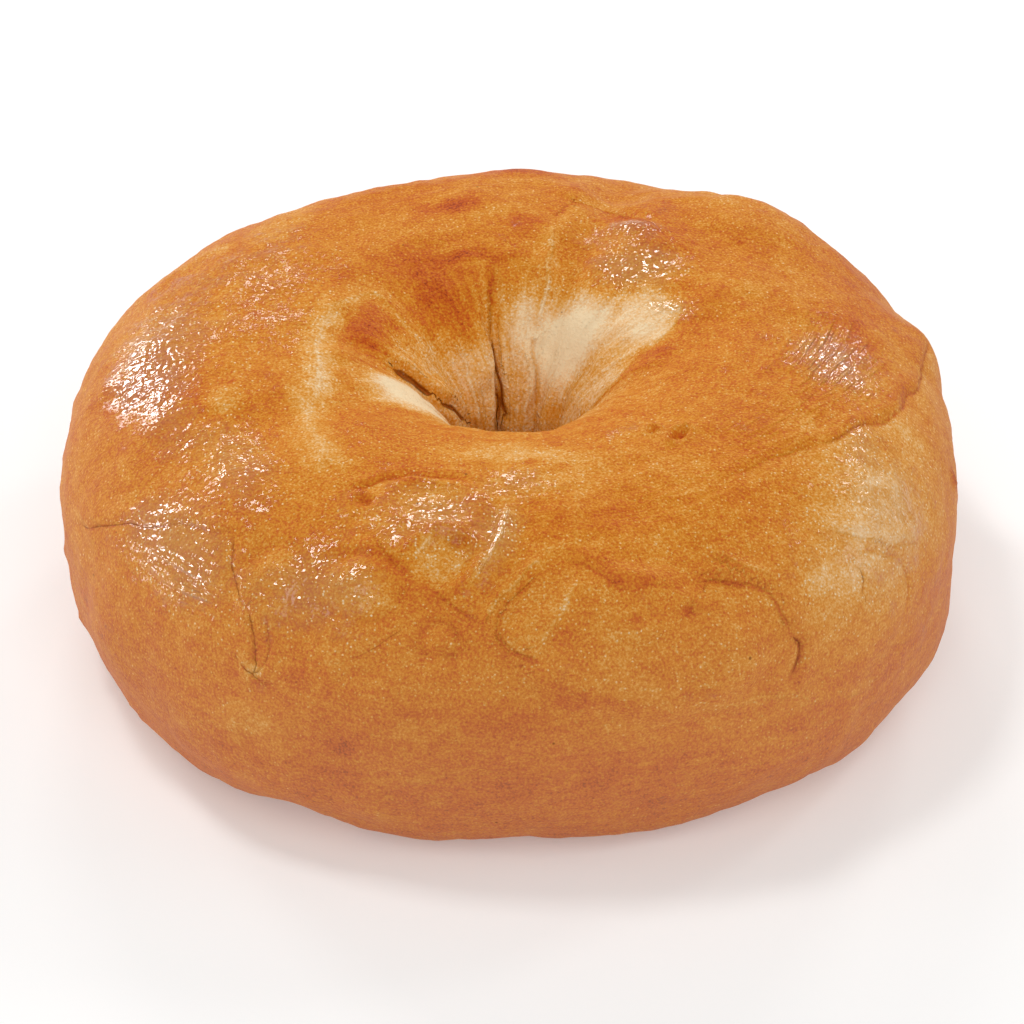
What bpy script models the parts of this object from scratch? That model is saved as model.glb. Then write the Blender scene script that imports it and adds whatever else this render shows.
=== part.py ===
"""A plain boiled bagel, built as one solid ring of baked dough.

The ring has an uneven round outline, a domed top, a flat base where it lay in the oven, and a
hole that is pinched nearly shut, with pleats of dough that run down its wall like a drawn bag.

Metres, +Z up. The origin is the middle of the bounding box's underside, so the base lies on z = 0.
+X is to the right of someone facing the front, and +Y is away from them.

A place on the ring is given by two angles. "Around" goes round the hole, from +X towards +Y.
"Across" goes round the dough itself: 0 is the outer rim, 90 the top, 180 the hole and 270 the base.
"""

import math

import bpy
from mathutils import Vector

# Driving dimensions, in metres
OUTER_RADIUS = 0.0548  # mean radius of the outer rim
CREST_RADIUS = 0.0275  # from the middle of the hole to the top of the dough
NECK_RADIUS = 0.0052  # the hole at its narrowest
HEIGHT = 0.0391  # base to crest
WAIST = 0.0193  # height of the widest and the narrowest places
BASE_EDGE = 63  # degrees below the waist, on either side, where the flat base ends

# How square each quarter of the dough's cross-section is: 2 is an ellipse, more is squarer
OUTER_TOP_POWER = 2.25
OUTER_BASE_POWER = 3.5
HOLE_TOP_POWER = 2.0
HOLE_BASE_POWER = 2.2

# Mesh fineness; the across segments divide the circle so that a row lies on each base edge
AROUND_SEGMENTS = 90
ACROSS_SEGMENTS = 40

# Unevenness of the hand-shaped ring: number of lobes, share of the size, and where one peaks
OUTLINE_LOBES = ((2, 0.012, 30), (3, 0.008, 57), (4, 0.015, 52))
HEIGHT_LOBES = ((1, 0.006, 270), (2, 0.006, 109))

# Pleats in the wall of the hole: around, half-width in degrees, and depth at the neck
PLEATS = (
    (34, 14, 0.0010),
    (64, 11, 0.0012),
    (104, 10, 0.0020),
    (144, 15, 0.0010),
    (184, 11, 0.0020),
    (232, 17, 0.0012),
    (286, 19, 0.0014),
    (348, 17, 0.0020),
)
PLEATS_START = 84  # across angle where the pleats begin to sink in
PLEATS_FULL = 172  # across angle where they have their whole depth
PLEATS_FADE = 190  # across angle, under the neck, where they begin to fade
PLEATS_END = 243  # across angle where they are gone, at the inner edge of the base

# Shallow valleys over the crest, where the rope of dough was folded: around, half-width, depth
SADDLES = ((69, 10, 0.0012), (212, 14, 0.0007), (8, 16, 0.0006))
SADDLES_REACH = 75  # degrees across, on each side of the crest

# Broad swellings of the crust: around, across, reach and rise
SWELLINGS = (
    (286, 44, 0.011, 0.0007),
    (308, 40, 0.012, 0.0008),
    (256, 72, 0.009, 0.0006),
    (222, 60, 0.008, 0.0005),
    (332, 52, 0.012, 0.0006),
    (52, 92, 0.010, 0.0007),
    (96, 82, 0.009, 0.0005),
    (160, 104, 0.006, 0.0009),
)

CRUST_COLOUR = (0.56, 0.25, 0.06, 1.0)
CRUST_ROUGHNESS = 0.38


def clear_scene():
    for obj in list(bpy.data.objects):
        bpy.data.objects.remove(obj, do_unlink=True)


def collection(name):
    made = bpy.data.collections.new(name)
    bpy.context.scene.collection.children.link(made)
    return made


def apart(angle, other):
    """Degrees between two directions, 0 to 180."""
    return abs((angle - other + 180) % 360 - 180)


def bump(distance, reach):
    """1 at no distance, falling smoothly to 0 at reach."""
    share = min(distance / reach, 1.0)
    return (1 - share * share) ** 2


def ramp(value, start, end):
    """0 at start, 1 at end, with an S-curve between them, and level beyond them."""
    share = min(max((value - start) / (end - start), 0.0), 1.0)
    return share * share * (3 - 2 * share)


def lobes(around, terms):
    """How much larger than the mean the ring is at this angle, as a share."""
    return sum(share * math.cos(math.radians(count * (around - peak))) for count, share, peak in terms)


def squared(value, power):
    """A cosine or sine, pushed out towards a square by a superellipse's power."""
    return math.copysign(abs(value) ** (2 / power), value)


def profile(around, across):
    """(distance from the axis, height) of the plain ring at this place, with its flat base."""
    outwards, upwards = math.cos(math.radians(across)), math.sin(math.radians(across))
    if outwards > 0:
        width = OUTER_RADIUS * (1 + lobes(around, OUTLINE_LOBES)) - CREST_RADIUS
        top_power, base_power = OUTER_TOP_POWER, OUTER_BASE_POWER
    else:
        width = CREST_RADIUS - NECK_RADIUS
        top_power, base_power = HOLE_TOP_POWER, HOLE_BASE_POWER
    if upwards > 0:
        power = top_power
        rise = (HEIGHT - WAIST) * (1 + lobes(around, HEIGHT_LOBES))
    else:
        power = base_power
        rise = WAIST / squared(math.sin(math.radians(BASE_EDGE)), power)
    return (
        CREST_RADIUS + width * squared(outwards, power),
        max(WAIST + rise * squared(upwards, power), 0.0),
    )


def pleat_depth(around, across):
    """How far the pleats sink the wall of the hole outwards, into the dough."""
    share = ramp(across, PLEATS_START, PLEATS_FULL) * ramp(across, PLEATS_END, PLEATS_FADE)
    return share * max(depth * bump(apart(around, at), half) for at, half, depth in PLEATS)


def saddle_depth(around, across):
    """How far the valleys over the crest lower it."""
    share = bump(apart(across, 90), SADDLES_REACH)
    return share * sum(depth * bump(apart(around, at), half) for at, half, depth in SADDLES)


def on_ring(around, across):
    """The plain ring's point at this place."""
    radius, height = profile(around, across)
    turn = math.radians(around)
    return Vector((radius * math.cos(turn), radius * math.sin(turn), height))


def outward(around, across):
    """The direction in which the crust swells at this place."""
    turn, lift = math.radians(around), math.radians(across)
    return Vector((math.cos(turn) * math.cos(lift), math.sin(turn) * math.cos(lift), math.sin(lift)))


def swelling(point):
    """How far the broad swellings push the crust out at this point."""
    return sum(rise * bump((point - on_ring(at, over)).length, reach) for at, over, reach, rise in SWELLINGS)


def dough_point(around, across):
    """The finished surface: the plain ring with its pleats, valleys and swellings."""
    radius, height = profile(around, across)
    radius += pleat_depth(around, across)
    height -= saddle_depth(around, across)
    turn = math.radians(around)
    point = Vector((radius * math.cos(turn), radius * math.sin(turn), height))
    return point + outward(around, across) * swelling(point)


def centre_on_base(mesh):
    """Moves the points so that the origin is the middle of the box's underside."""
    for axis in (0, 1):
        values = [vertex.co[axis] for vertex in mesh.vertices]
        middle = (min(values) + max(values)) / 2
        for vertex in mesh.vertices:
            vertex.co[axis] -= middle


def crust_material():
    """Glossy golden-brown crust."""
    material = bpy.data.materials.new("bagel_crust")
    material.use_nodes = True
    shader = material.node_tree.nodes["Principled BSDF"]
    shader.inputs["Base Color"].default_value = CRUST_COLOUR
    shader.inputs["Roughness"].default_value = CRUST_ROUGHNESS
    shader.inputs["Metallic"].default_value = 0.0
    return material


def build_bagel(target):
    """A torus whose points are moved, one by one, to their places on the dough."""
    bpy.ops.mesh.primitive_torus_add(
        major_segments=AROUND_SEGMENTS,
        minor_segments=ACROSS_SEGMENTS,
        major_radius=CREST_RADIUS,
        minor_radius=HEIGHT / 2,
    )
    bagel = bpy.context.active_object
    bagel.name = bagel.data.name = "bagel"
    for vertex in bagel.data.vertices:
        x, y, z = vertex.co
        around = math.degrees(math.atan2(y, x)) % 360
        across = math.degrees(math.atan2(z, math.hypot(x, y) - CREST_RADIUS)) % 360
        vertex.co = dough_point(around, across)
    centre_on_base(bagel.data)
    bagel.data.shade_smooth()
    bagel.data.materials.append(crust_material())
    for other in bagel.users_collection:
        other.objects.unlink(bagel)
    target.objects.link(bagel)


clear_scene()
build_bagel(collection("bagel"))
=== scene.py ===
# %% [markdown]
# # A boiled bagel
# This lesson dresses one bagel. A bagel is a rope of dough joined into a ring, boiled, then baked. The
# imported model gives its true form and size: a thick uneven ring with a flat base and a hole that is
# pinched nearly shut. What it lacks is the crust, and the crust is nearly all that anyone sees.
# The work goes in this order: a fine skin on the ring, folds and blisters pressed into it, one bread
# material that reads what the skin knows about itself, then a floor, lights and a camera.

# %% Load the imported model
import math
import random

import bpy
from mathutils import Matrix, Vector
from mathutils.bvhtree import BVHTree


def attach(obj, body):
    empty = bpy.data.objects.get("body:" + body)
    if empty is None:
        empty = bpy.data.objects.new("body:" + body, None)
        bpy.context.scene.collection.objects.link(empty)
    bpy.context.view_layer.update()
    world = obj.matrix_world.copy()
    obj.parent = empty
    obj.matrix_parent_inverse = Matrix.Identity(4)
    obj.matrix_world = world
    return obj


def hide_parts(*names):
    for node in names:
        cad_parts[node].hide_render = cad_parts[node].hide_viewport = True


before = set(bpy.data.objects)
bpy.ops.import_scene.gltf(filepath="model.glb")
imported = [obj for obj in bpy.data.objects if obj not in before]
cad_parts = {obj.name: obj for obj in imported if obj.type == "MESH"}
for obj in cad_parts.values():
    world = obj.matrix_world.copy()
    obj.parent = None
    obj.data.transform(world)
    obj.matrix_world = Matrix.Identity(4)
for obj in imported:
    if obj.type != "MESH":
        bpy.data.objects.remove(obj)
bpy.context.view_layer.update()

MM = 0.001

# %% [markdown]
# ## Two small helpers
# Node trees are long to write by hand. One helper adds a node, sets it and wires its inputs, for every
# kind of node. The other turns a colour as a designer writes it, #RRGGBB in sRGB, into the linear
# numbers that a renderer works in.

# %% Add a node
def add(tree, kind, inputs=(), **settings):
    """Adds one node. Inputs go by order or by name, and each is a value, a socket or a node to link from."""
    node = tree.nodes.new(kind)
    for name, value in settings.items():
        setattr(node, name, value)
    sockets = [socket for socket in node.inputs if socket.enabled]
    if isinstance(inputs, dict):
        inputs = [(next(s for s in sockets if s.name == name), value) for name, value in inputs.items()]
    else:
        inputs = list(zip(sockets, inputs))
    for socket, value in inputs:
        if isinstance(value, bpy.types.Node):
            value = next(output for output in value.outputs if output.enabled)
        if isinstance(value, bpy.types.NodeSocket):
            tree.links.new(value, socket)
        else:
            socket.default_value = value
    return node


# %% Read a hex colour
def linear(hex_colour):
    """#RRGGBB in sRGB as linear red, green, blue and alpha."""
    channels = (int(hex_colour[start : start + 2], 16) / 255 for start in (1, 3, 5))
    return (*(c / 12.92 if c <= 0.04045 else ((c + 0.055) / 1.055) ** 2.4 for c in channels), 1.0)


# %% [markdown]
# ## Places on the crust
# A place on a ring is two angles. "Around" goes round the hole: 0 is the right-hand side, 90 the back,
# 180 the left and 270 the front. "Across" goes round the dough itself, seen from the ring's centre
# line: 0 is the outer rim, 90 the top, 180 the hole and 270 the base. A ray from the centre line in that
# direction meets the model's surface at the place, so every mark below sits on the real form.

# %% Find the centre line and cast rays from it
bagel_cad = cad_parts["bagel"]
RING_RADIUS = 27.5 * MM  # the rope's centre line, from the middle of the hole
RING_HEIGHT = 19.5 * MM
NECK_SEARCH = 8 * MM  # the points nearer the middle than this are the neck of the hole
NECK_BAND = 4 * MM

points = [vertex.co.copy() for vertex in bagel_cad.data.vertices]
neck = [p for p in points if math.hypot(p.x, p.y) < NECK_SEARCH and abs(p.z - RING_HEIGHT) < NECK_BAND]
HOLE_AXIS = Vector((sum(p.x for p in neck), sum(p.y for p in neck), 0)) / len(neck)
surface = BVHTree.FromPolygons(points, [face.vertices for face in bagel_cad.data.polygons])


def directions(around, across):
    """At this place: along the ring, over the dough, and out from the centre line."""
    turn, lift = math.radians(around), math.radians(across)
    outward = Vector((math.cos(turn), math.sin(turn), 0))
    up = Vector((0, 0, 1))
    along = Vector((-math.sin(turn), math.cos(turn), 0))
    return along, up * math.cos(lift) - outward * math.sin(lift), outward * math.cos(lift) + up * math.sin(lift)


def place(around, across):
    """The point of the crust at these two angles."""
    turn = math.radians(around)
    centre = HOLE_AXIS + Vector((RING_RADIUS * math.cos(turn), RING_RADIUS * math.sin(turn), RING_HEIGHT))
    return surface.ray_cast(centre, directions(around, across)[2])[0]


def heading_of(around, across, heading):
    """A direction on the crust: 0 along the ring, 90 over the dough from the rim to the hole."""
    along, over, _ = directions(around, across)
    return along * math.cos(math.radians(heading)) + over * math.sin(math.radians(heading))


print("hole axis, mm:", [round(value / MM, 2) for value in HOLE_AXIS])

# %% [markdown]
# ## The skin
# The model's facets are 4 mm across, far too coarse for a crust. A subdivided copy would follow them,
# and would waste its faces on the hidden base. Instead a flat grid is wrapped round the ring by
# Geometry Nodes: each grid point turns its two shares into the two angles, casts a ray from the centre
# line, and stops where the ray meets the model. Blurring the points' positions then melts the
# facets. Rows are packed closer on the top and the sides than underneath. Each point keeps its place
# on the ring as an attribute, so that later steps can lay streaks along the rope or across it.

# %% Start a tree with named inputs
MATH, VECTOR, RANGE, NOISE = "ShaderNodeMath", "ShaderNodeVectorMath", "ShaderNodeMapRange", "ShaderNodeTexNoise"
SPLIT, JOIN, GROUP = "ShaderNodeSeparateXYZ", "ShaderNodeCombineXYZ", "GeometryNodeGroup"
STORE, READ, MOVE = "GeometryNodeStoreNamedAttribute", "GeometryNodeInputNamedAttribute", "GeometryNodeSetPosition"
MESH, NUMBER, POINT, COUNT = "NodeSocketGeometry", "NodeSocketFloat", "NodeSocketVector", "NodeSocketInt"
EASED = {"interpolation_type": "SMOOTHSTEP"}  # a range from 0 to 1 with an S-curve, level beyond its ends


def new_tree(name, inputs, outputs):
    """A Geometry Nodes tree with its named inputs and outputs, its input sockets and its output node."""
    tree = bpy.data.node_groups.new(name, "GeometryNodeTree")
    for label, kind in inputs.items():
        tree.interface.new_socket(label, in_out="INPUT", socket_type=kind)
    for label, kind in outputs.items():
        tree.interface.new_socket(label, in_out="OUTPUT", socket_type=kind)
    return tree, tree.nodes.new("NodeGroupInput").outputs, tree.nodes.new("NodeGroupOutput").inputs


# %% Wrap a grid round the ring
SKIN_INPUTS = {
    "Model": MESH, "Ring middle": POINT, "Ring radius": NUMBER, "Columns": COUNT, "Rows": COUNT,
    "Top packing": NUMBER, "Side packing": NUMBER, "Melting": COUNT}
SEAM_GAP = 0.01 * MM

skin, given, made = new_tree("skin of dough", SKIN_INPUTS, {"Skin": MESH})
grid = add(skin, "GeometryNodeMeshGrid", (1.0, 1.0, given["Columns"], given["Rows"]))
shares = add(skin, SPLIT, (add(skin, "GeometryNodeInputPosition"),)).outputs
around = add(skin, MATH, (shares["X"], math.tau, -math.pi / 2), operation="MULTIPLY_ADD")
across = add(skin, MATH, (shares["Y"], math.tau, math.pi / 2), operation="MULTIPLY_ADD")
for turns, packing in ((1, "Top packing"), (2, "Side packing")):
    phase = add(skin, MATH, (shares["Y"], turns * math.tau), operation="MULTIPLY")
    pull = add(skin, MATH, (add(skin, MATH, (phase,), operation="SINE"), given[packing]), operation="MULTIPLY")
    across = add(skin, MATH, (across, pull), operation="SUBTRACT")
cosine = add(skin, MATH, (around,), operation="COSINE")
sine = add(skin, MATH, (around,), operation="SINE")
outward = add(skin, JOIN, (cosine, sine))
centre = add(skin, VECTOR, (outward, given["Ring radius"], given["Ring middle"]), operation="MULTIPLY_ADD")
lift = add(skin, JOIN, {"Z": add(skin, MATH, (across,), operation="SINE")})
ray = add(skin, VECTOR, (outward, add(skin, MATH, (across,), operation="COSINE"), lift), operation="MULTIPLY_ADD")
hit = add(skin, "GeometryNodeRaycast", {
    "Target Geometry": given["Model"], "Source Position": centre, "Ray Direction": ray, "Ray Length": 1.0})
mapped = add(skin, STORE, (grid, True, "OFBake", grid.outputs["UV Map"]), data_type="FLOAT2", domain="CORNER")
placed = add(skin, STORE, (mapped, True, "ring_place", add(skin, JOIN, (cosine, sine, across))),
             data_type="FLOAT_VECTOR")
wrapped = add(skin, MOVE, {"Geometry": placed, "Position": hit.outputs["Hit Position"]})
closed = add(skin, "GeometryNodeMergeByDistance", {"Geometry": wrapped, "Distance": SEAM_GAP})
blurred = add(skin, "GeometryNodeBlurAttribute", {
    "Value": add(skin, "GeometryNodeInputPosition"), "Iterations": given["Melting"]}, data_type="FLOAT_VECTOR")
melted = add(skin, MOVE, {"Geometry": closed, "Position": blurred})
skin.links.new(melted.outputs[0], made["Skin"])
print("skin tree:", len(skin.nodes), "nodes")

# %% [markdown]
# ## Two kinds of mark
# Boiling and baking leave two kinds of mark on the crust. A *blister* is a spot where gas lifted the
# skin, or where it sank again: a dome or a flat-topped patch with a rim. A *fold* is a line where dough
# overlaps dough, with one side higher, or a ridge, or a crack. A soft *patch* is a blister with no height,
# which only tints the skin, thickens its film or puckers it. So there are two small groups. Both add to
# running totals: how far the skin rises, how much more it is baked, how thick a film of gel dried on it
# and how much it is puckered. A crack is kept as the signed distance to its line and the line's width,
# because a distance that changes sign on the line stays exact between the points of the mesh.

# %% A blister
SUMS = {"Relief": NUMBER, "Bake": NUMBER, "Film": NUMBER, "Pucker": NUMBER, "Crack": NUMBER, "Gap": NUMBER,
        "Crest": NUMBER}
RIM_WIDTH = 0.28  # of the blister's size

blister, given, made = new_tree("blister", {
    "At": POINT, **SUMS, "Centre": POINT, "Along": POINT, "Length": NUMBER, "Width": NUMBER, "Softness": NUMBER,
    "Rise": NUMBER, "Rim": NUMBER, "Tone": NUMBER, "Rim tone": NUMBER, "Gel": NUMBER, "Wrinkles": NUMBER,
}, SUMS)
offset = add(blister, VECTOR, (given["At"], given["Centre"]), operation="SUBTRACT")
lengthwise = add(blister, VECTOR, (offset, given["Along"]), operation="DOT_PRODUCT")
back = add(blister, VECTOR, (given["Along"], lengthwise), operation="MULTIPLY")
aside = add(blister, VECTOR, (offset, back), operation="SUBTRACT")
far = add(blister, MATH, (lengthwise, given["Length"]), operation="DIVIDE")
wide = add(blister, MATH, (add(blister, VECTOR, (aside,), operation="LENGTH"), given["Width"]), operation="DIVIDE")
distance = add(blister, VECTOR, (add(blister, JOIN, (far, wide)),), operation="LENGTH")  # 1 is its outline
flat_top = add(blister, MATH, (1.0, given["Softness"]), operation="SUBTRACT")
dome = add(blister, RANGE, (distance, 1.0, flat_top), **EASED)
from_rim = add(blister, MATH, (add(blister, MATH, (distance, 1.0), operation="SUBTRACT"),), operation="ABSOLUTE")
rim = add(blister, RANGE, (from_rim, RIM_WIDTH, 0.0), **EASED)
for total, inside, edge in (("Relief", "Rise", "Rim"), ("Bake", "Tone", "Rim tone")):
    with_dome = add(blister, MATH, (dome, given[inside], given[total]), operation="MULTIPLY_ADD")
    with_rim = add(blister, MATH, (rim, given[edge], with_dome), operation="MULTIPLY_ADD")
    blister.links.new(with_rim.outputs[0], made[total])
for total, inside in (("Film", "Gel"), ("Pucker", "Wrinkles")):
    added = add(blister, MATH, (dome, given[inside], given[total]), operation="MULTIPLY_ADD")
    blister.links.new(added.outputs[0], made[total])
for total in ("Crack", "Gap", "Crest"):
    blister.links.new(given[total], made[total])

# %% A fold
PATH_PIECES = 24
LEVEL_NEAR, LEVEL_FAR = 2 * MM, 5 * MM  # past this height off the path, such as across the hole, it has no effect
CRACK_NEAR, CRACK_FAR = 0.9 * MM, 1.3 * MM  # a line is kept only this near its path
STEP_SHARE = 0.5  # of a lip's height, as the depth of the fine crease under it

fold, given, made = new_tree("fold", {
    "At": POINT, **SUMS, "Start": POINT, "Middle": POINT, "End": POINT, "Over": POINT, "Taper": NUMBER,
    "Width": NUMBER, "Depth": NUMBER, "Step": NUMBER, "Reach": NUMBER, "Over tone": NUMBER, "Under tone": NUMBER,
    "Open": NUMBER,
}, SUMS)
path = add(fold, "GeometryNodeCurveQuadraticBezier", (PATH_PIECES, given["Start"], given["Middle"], given["End"]))
nearest = add(fold, "GeometryNodeProximity", {
    "Geometry": add(fold, "GeometryNodeCurveToMesh", (path,)), "Sample Position": given["At"]},
    target_element="EDGES").outputs["Position"]
facing = add(fold, "GeometryNodeInputNormal")
offset = add(fold, VECTOR, (given["At"], nearest), operation="SUBTRACT")
height = add(fold, VECTOR, (offset, facing), operation="DOT_PRODUCT")
lifted = add(fold, VECTOR, (facing, height), operation="MULTIPLY")
flat = add(fold, VECTOR, (offset, lifted), operation="SUBTRACT")
distance = add(fold, VECTOR, (flat,), operation="LENGTH")
over = add(fold, VECTOR, (given["Over"], nearest), operation="SUBTRACT")
side = add(fold, MATH, (add(fold, VECTOR, (flat, over), operation="DOT_PRODUCT"),), operation="SIGN")
signed = add(fold, MATH, (distance, side), operation="MULTIPLY")
# the ends taper away
ends = [add(fold, VECTOR, (given["At"], given[name]), operation="DISTANCE") for name in ("Start", "End")]
taper = add(fold, RANGE, (add(fold, MATH, ends, operation="MINIMUM"), 0.0, given["Taper"]), **EASED)
level = add(fold, RANGE, (add(fold, MATH, (height,), operation="ABSOLUTE"), LEVEL_FAR, LEVEL_NEAR), **EASED)
taper = add(fold, MATH, (taper, level), operation="MULTIPLY")
# the groove or ridge on the path, and the lip that stands over one side of it
groove = add(fold, RANGE, (distance, given["Width"], 0.0), **EASED)
lip = add(fold, RANGE, (signed, 0.0, given["Width"]), **EASED)
fading = add(fold, RANGE, (distance, given["Reach"], 0.0), **EASED)
raised = add(fold, MATH, (add(fold, MATH, (lip, fading), operation="MULTIPLY"), given["Step"]), operation="MULTIPLY")
sunk = add(fold, MATH, (groove, given["Depth"]), operation="MULTIPLY")
net = add(fold, MATH, (raised, sunk), operation="SUBTRACT")
# its colour on each side
on_lip = add(fold, RANGE, (signed, -0.3 * MM, 0.3 * MM), **EASED)
side_tone = add(fold, "ShaderNodeMix", (on_lip, given["Under tone"], given["Over tone"]))
toned = add(fold, MATH, (fading, side_tone), operation="MULTIPLY")
for total, amount in (("Relief", net), ("Bake", toned)):
    added = add(fold, MATH, (amount, taper, given[total]), operation="MULTIPLY_ADD")
    fold.links.new(added.outputs[0], made[total])
# where two lines meet, the stronger one is kept
near = add(fold, RANGE, (distance, CRACK_FAR, CRACK_NEAR), **EASED)
near = add(fold, MATH, (near, taper), operation="MULTIPLY")
gap = add(fold, MATH, (given["Open"], near), operation="MULTIPLY")
dip = add(fold, MATH, (given["Step"], STEP_SHARE, given["Depth"]), operation="MULTIPLY_ADD")
crest = add(fold, MATH, (add(fold, MATH, (dip, -1.0), operation="MULTIPLY"), near), operation="MULTIPLY")
strengths = [add(fold, MATH, (add(fold, MATH, (ridge,), operation="ABSOLUTE"), width), operation="ADD")
             for ridge, width in ((crest, gap), (given["Crest"], given["Gap"]))]
stronger = add(fold, MATH, strengths, operation="GREATER_THAN")
for total, here in (("Crack", signed), ("Gap", gap), ("Crest", crest)):
    kept = add(fold, "ShaderNodeMix", (stronger, given[total], here))
    fold.links.new(next(output for output in kept.outputs if output.enabled), made[total])
for total in ("Film", "Pucker"):
    fold.links.new(given[total], made[total])
print("marks:", blister.name, fold.name)

# %% [markdown]
# ## Where the marks are
# Each row below is one mark: where it is, which way it runs, its size in millimetres, and
# what it does to the tone. A heading of 0 runs along the ring and 90 runs over the dough. A tone of 1
# would be the whole way from golden to scorched, and -1 to raw cream, so most are small.

# %% Blisters, swellings and dimples
# around, across, heading, half-length, half-width, softness, rise, rim, tone, rim tone
BLISTERS = (
    # the front's collapsed blisters
    (255, 70, 0, 6.0, 3.6, 0.6, -0.34, 0.22, -0.05, 0.08),
    (259, 50, 60, 4.8, 4.0, 0.5, -0.54, 0.30, -0.14, 0.05),
    (248.3, 37.5, 10, 5.0, 4.4, 0.5, 0.41, -0.22, -0.04, 0.06),
    (236.2, 30, 90, 6.0, 4.4, 0.6, 0.34, -0.14, -0.05, 0.03),
    (248, 22, 0, 4.6, 3.2, 0.7, 0.22, -0.11, -0.03, 0.04),
    (260.6, 28, 0, 2.4, 2.2, 0.8, 0.46, -0.30, 0.0, 0.08),
    # the big front swelling, its lit left shoulder and its right dome
    (286, 24, -12, 17.0, 10.0, 0.35, 0.80, 0.0, -0.02, 0.0),
    (274, 36, 70, 6.5, 3.6, 0.8, 0.41, 0.0, -0.04, 0.0),
    (298, 16, 70, 7.5, 5.4, 0.7, 0.74, 0.0, -0.03, 0.0),
    (288, 28, 20, 4.5, 2.0, 0.9, 0.41, 0.0, -0.08, 0.0),
    # the torn flake of film low on the left
    (237.8, 10.4, 30, 2.4, 1.4, 0.4, 0.16, 0.10, -0.16, 0.10),
    # dimples, painted darker inside as shade in the hollow; the two pits on top at the right also have painted
    # highlight on their rims
    (242.3, 63.5, 0, 1.5, 1.1, 0.8, -0.41, 0.16, 0.22, 0.10),
    (260.4, 57.7, 0, 2.6, 1.0, 0.9, -0.54, 0.14, 0.26, 0.05),
    (256, 60, 0, 1.2, 0.8, 0.9, -0.34, 0.0, 0.22, 0.0),
    (313.3, 88.5, 0, 1.9, 1.2, 0.8, -0.80, 0.34, 0.16, -0.06),
    (309.6, 97, 0, 1.3, 1.0, 0.8, -0.60, 0.28, 0.14, -0.06),
    (293.4, 31, 0, 1.5, 0.9, 0.8, -0.47, 0.07, 0.32, 0.05),
    (296.8, 30.5, 0, 1.2, 0.8, 0.8, -0.34, 0.07, 0.36, 0.05),
    (286.8, 31.5, 30, 1.4, 0.7, 0.9, -0.27, 0.0, 0.20, 0.0),
    # the funnel's lobes
    (188, 110, 60, 5.0, 3.6, 0.9, 0.61, 0.0, 0.0, 0.0),
    (166, 120, 10, 5.0, 4.0, 0.9, 0.61, 0.0, 0.0, 0.0),
    (57, 86, 0, 8.0, 3.4, 0.9, 0.61, 0.0, 0.02, 0.0),
    # low places and bumps of the outline, at the back and low down in front
    (70, 58, 90, 11.0, 5.0, 1.0, -1.00, 0.0, 0.0, 0.0),
    (89, 47, 0, 8.0, 8.0, 1.0, 0.61, 0.0, 0.0, 0.0),
    (44, 47, 0, 16.0, 11.0, 1.0, 1.90, 0.0, 0.0, 0.0),
    (236, 345, 0, 16.0, 11.0, 1.0, 1.08, 0.0, 0.0, 0.0),
    (252, 338, 0, 5.0, 5.0, 1.0, 0.68, 0.0, 0.0, 0.0),
    (212, 355, 0, 8.0, 10.0, 1.0, 0.81, 0.0, 0.0, 0.0),
    (305, 345, 0, 18.0, 11.0, 1.0, 1.15, 0.0, 0.0, 0.0),
    (15, 22, 0, 9.0, 9.0, 1.0, 1.30, 0.0, 0.0, 0.0),
    (322, 322, 0, 22.0, 13.0, 1.0, 1.35, 0.0, 0.0, 0.0),
    (290, 321, 0, 20.0, 8.0, 1.0, 1.10, 0.0, 0.0, 0.0),
    (256, 320, 0, 16.0, 8.0, 1.0, 1.00, 0.0, 0.0, 0.0),
    (340, 334, 0, 14.0, 10.0, 1.0, 1.20, 0.0, 0.0, 0.0),
    (228, 321, 0, 12.0, 8.0, 1.0, 0.80, 0.0, 0.0, 0.0),
    (216, 322, 0, 16.0, 9.0, 1.0, 0.90, 0.0, 0.0, 0.0),
    # flakes of film that stand off the left and right rims
    (190.5, 351, 80, 2.6, 1.2, 0.9, 0.34, 0.0, 0.15, 0.0),
    (197.5, 341, 60, 2.2, 1.1, 0.9, 0.30, 0.0, 0.10, 0.0),
    (213, 334, 70, 2.4, 1.2, 0.9, 0.30, 0.0, 0.05, 0.0),
    (350.6, 10.5, 80, 2.2, 1.1, 0.9, 0.54, 0.0, 0.40, 0.0),
)

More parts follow.
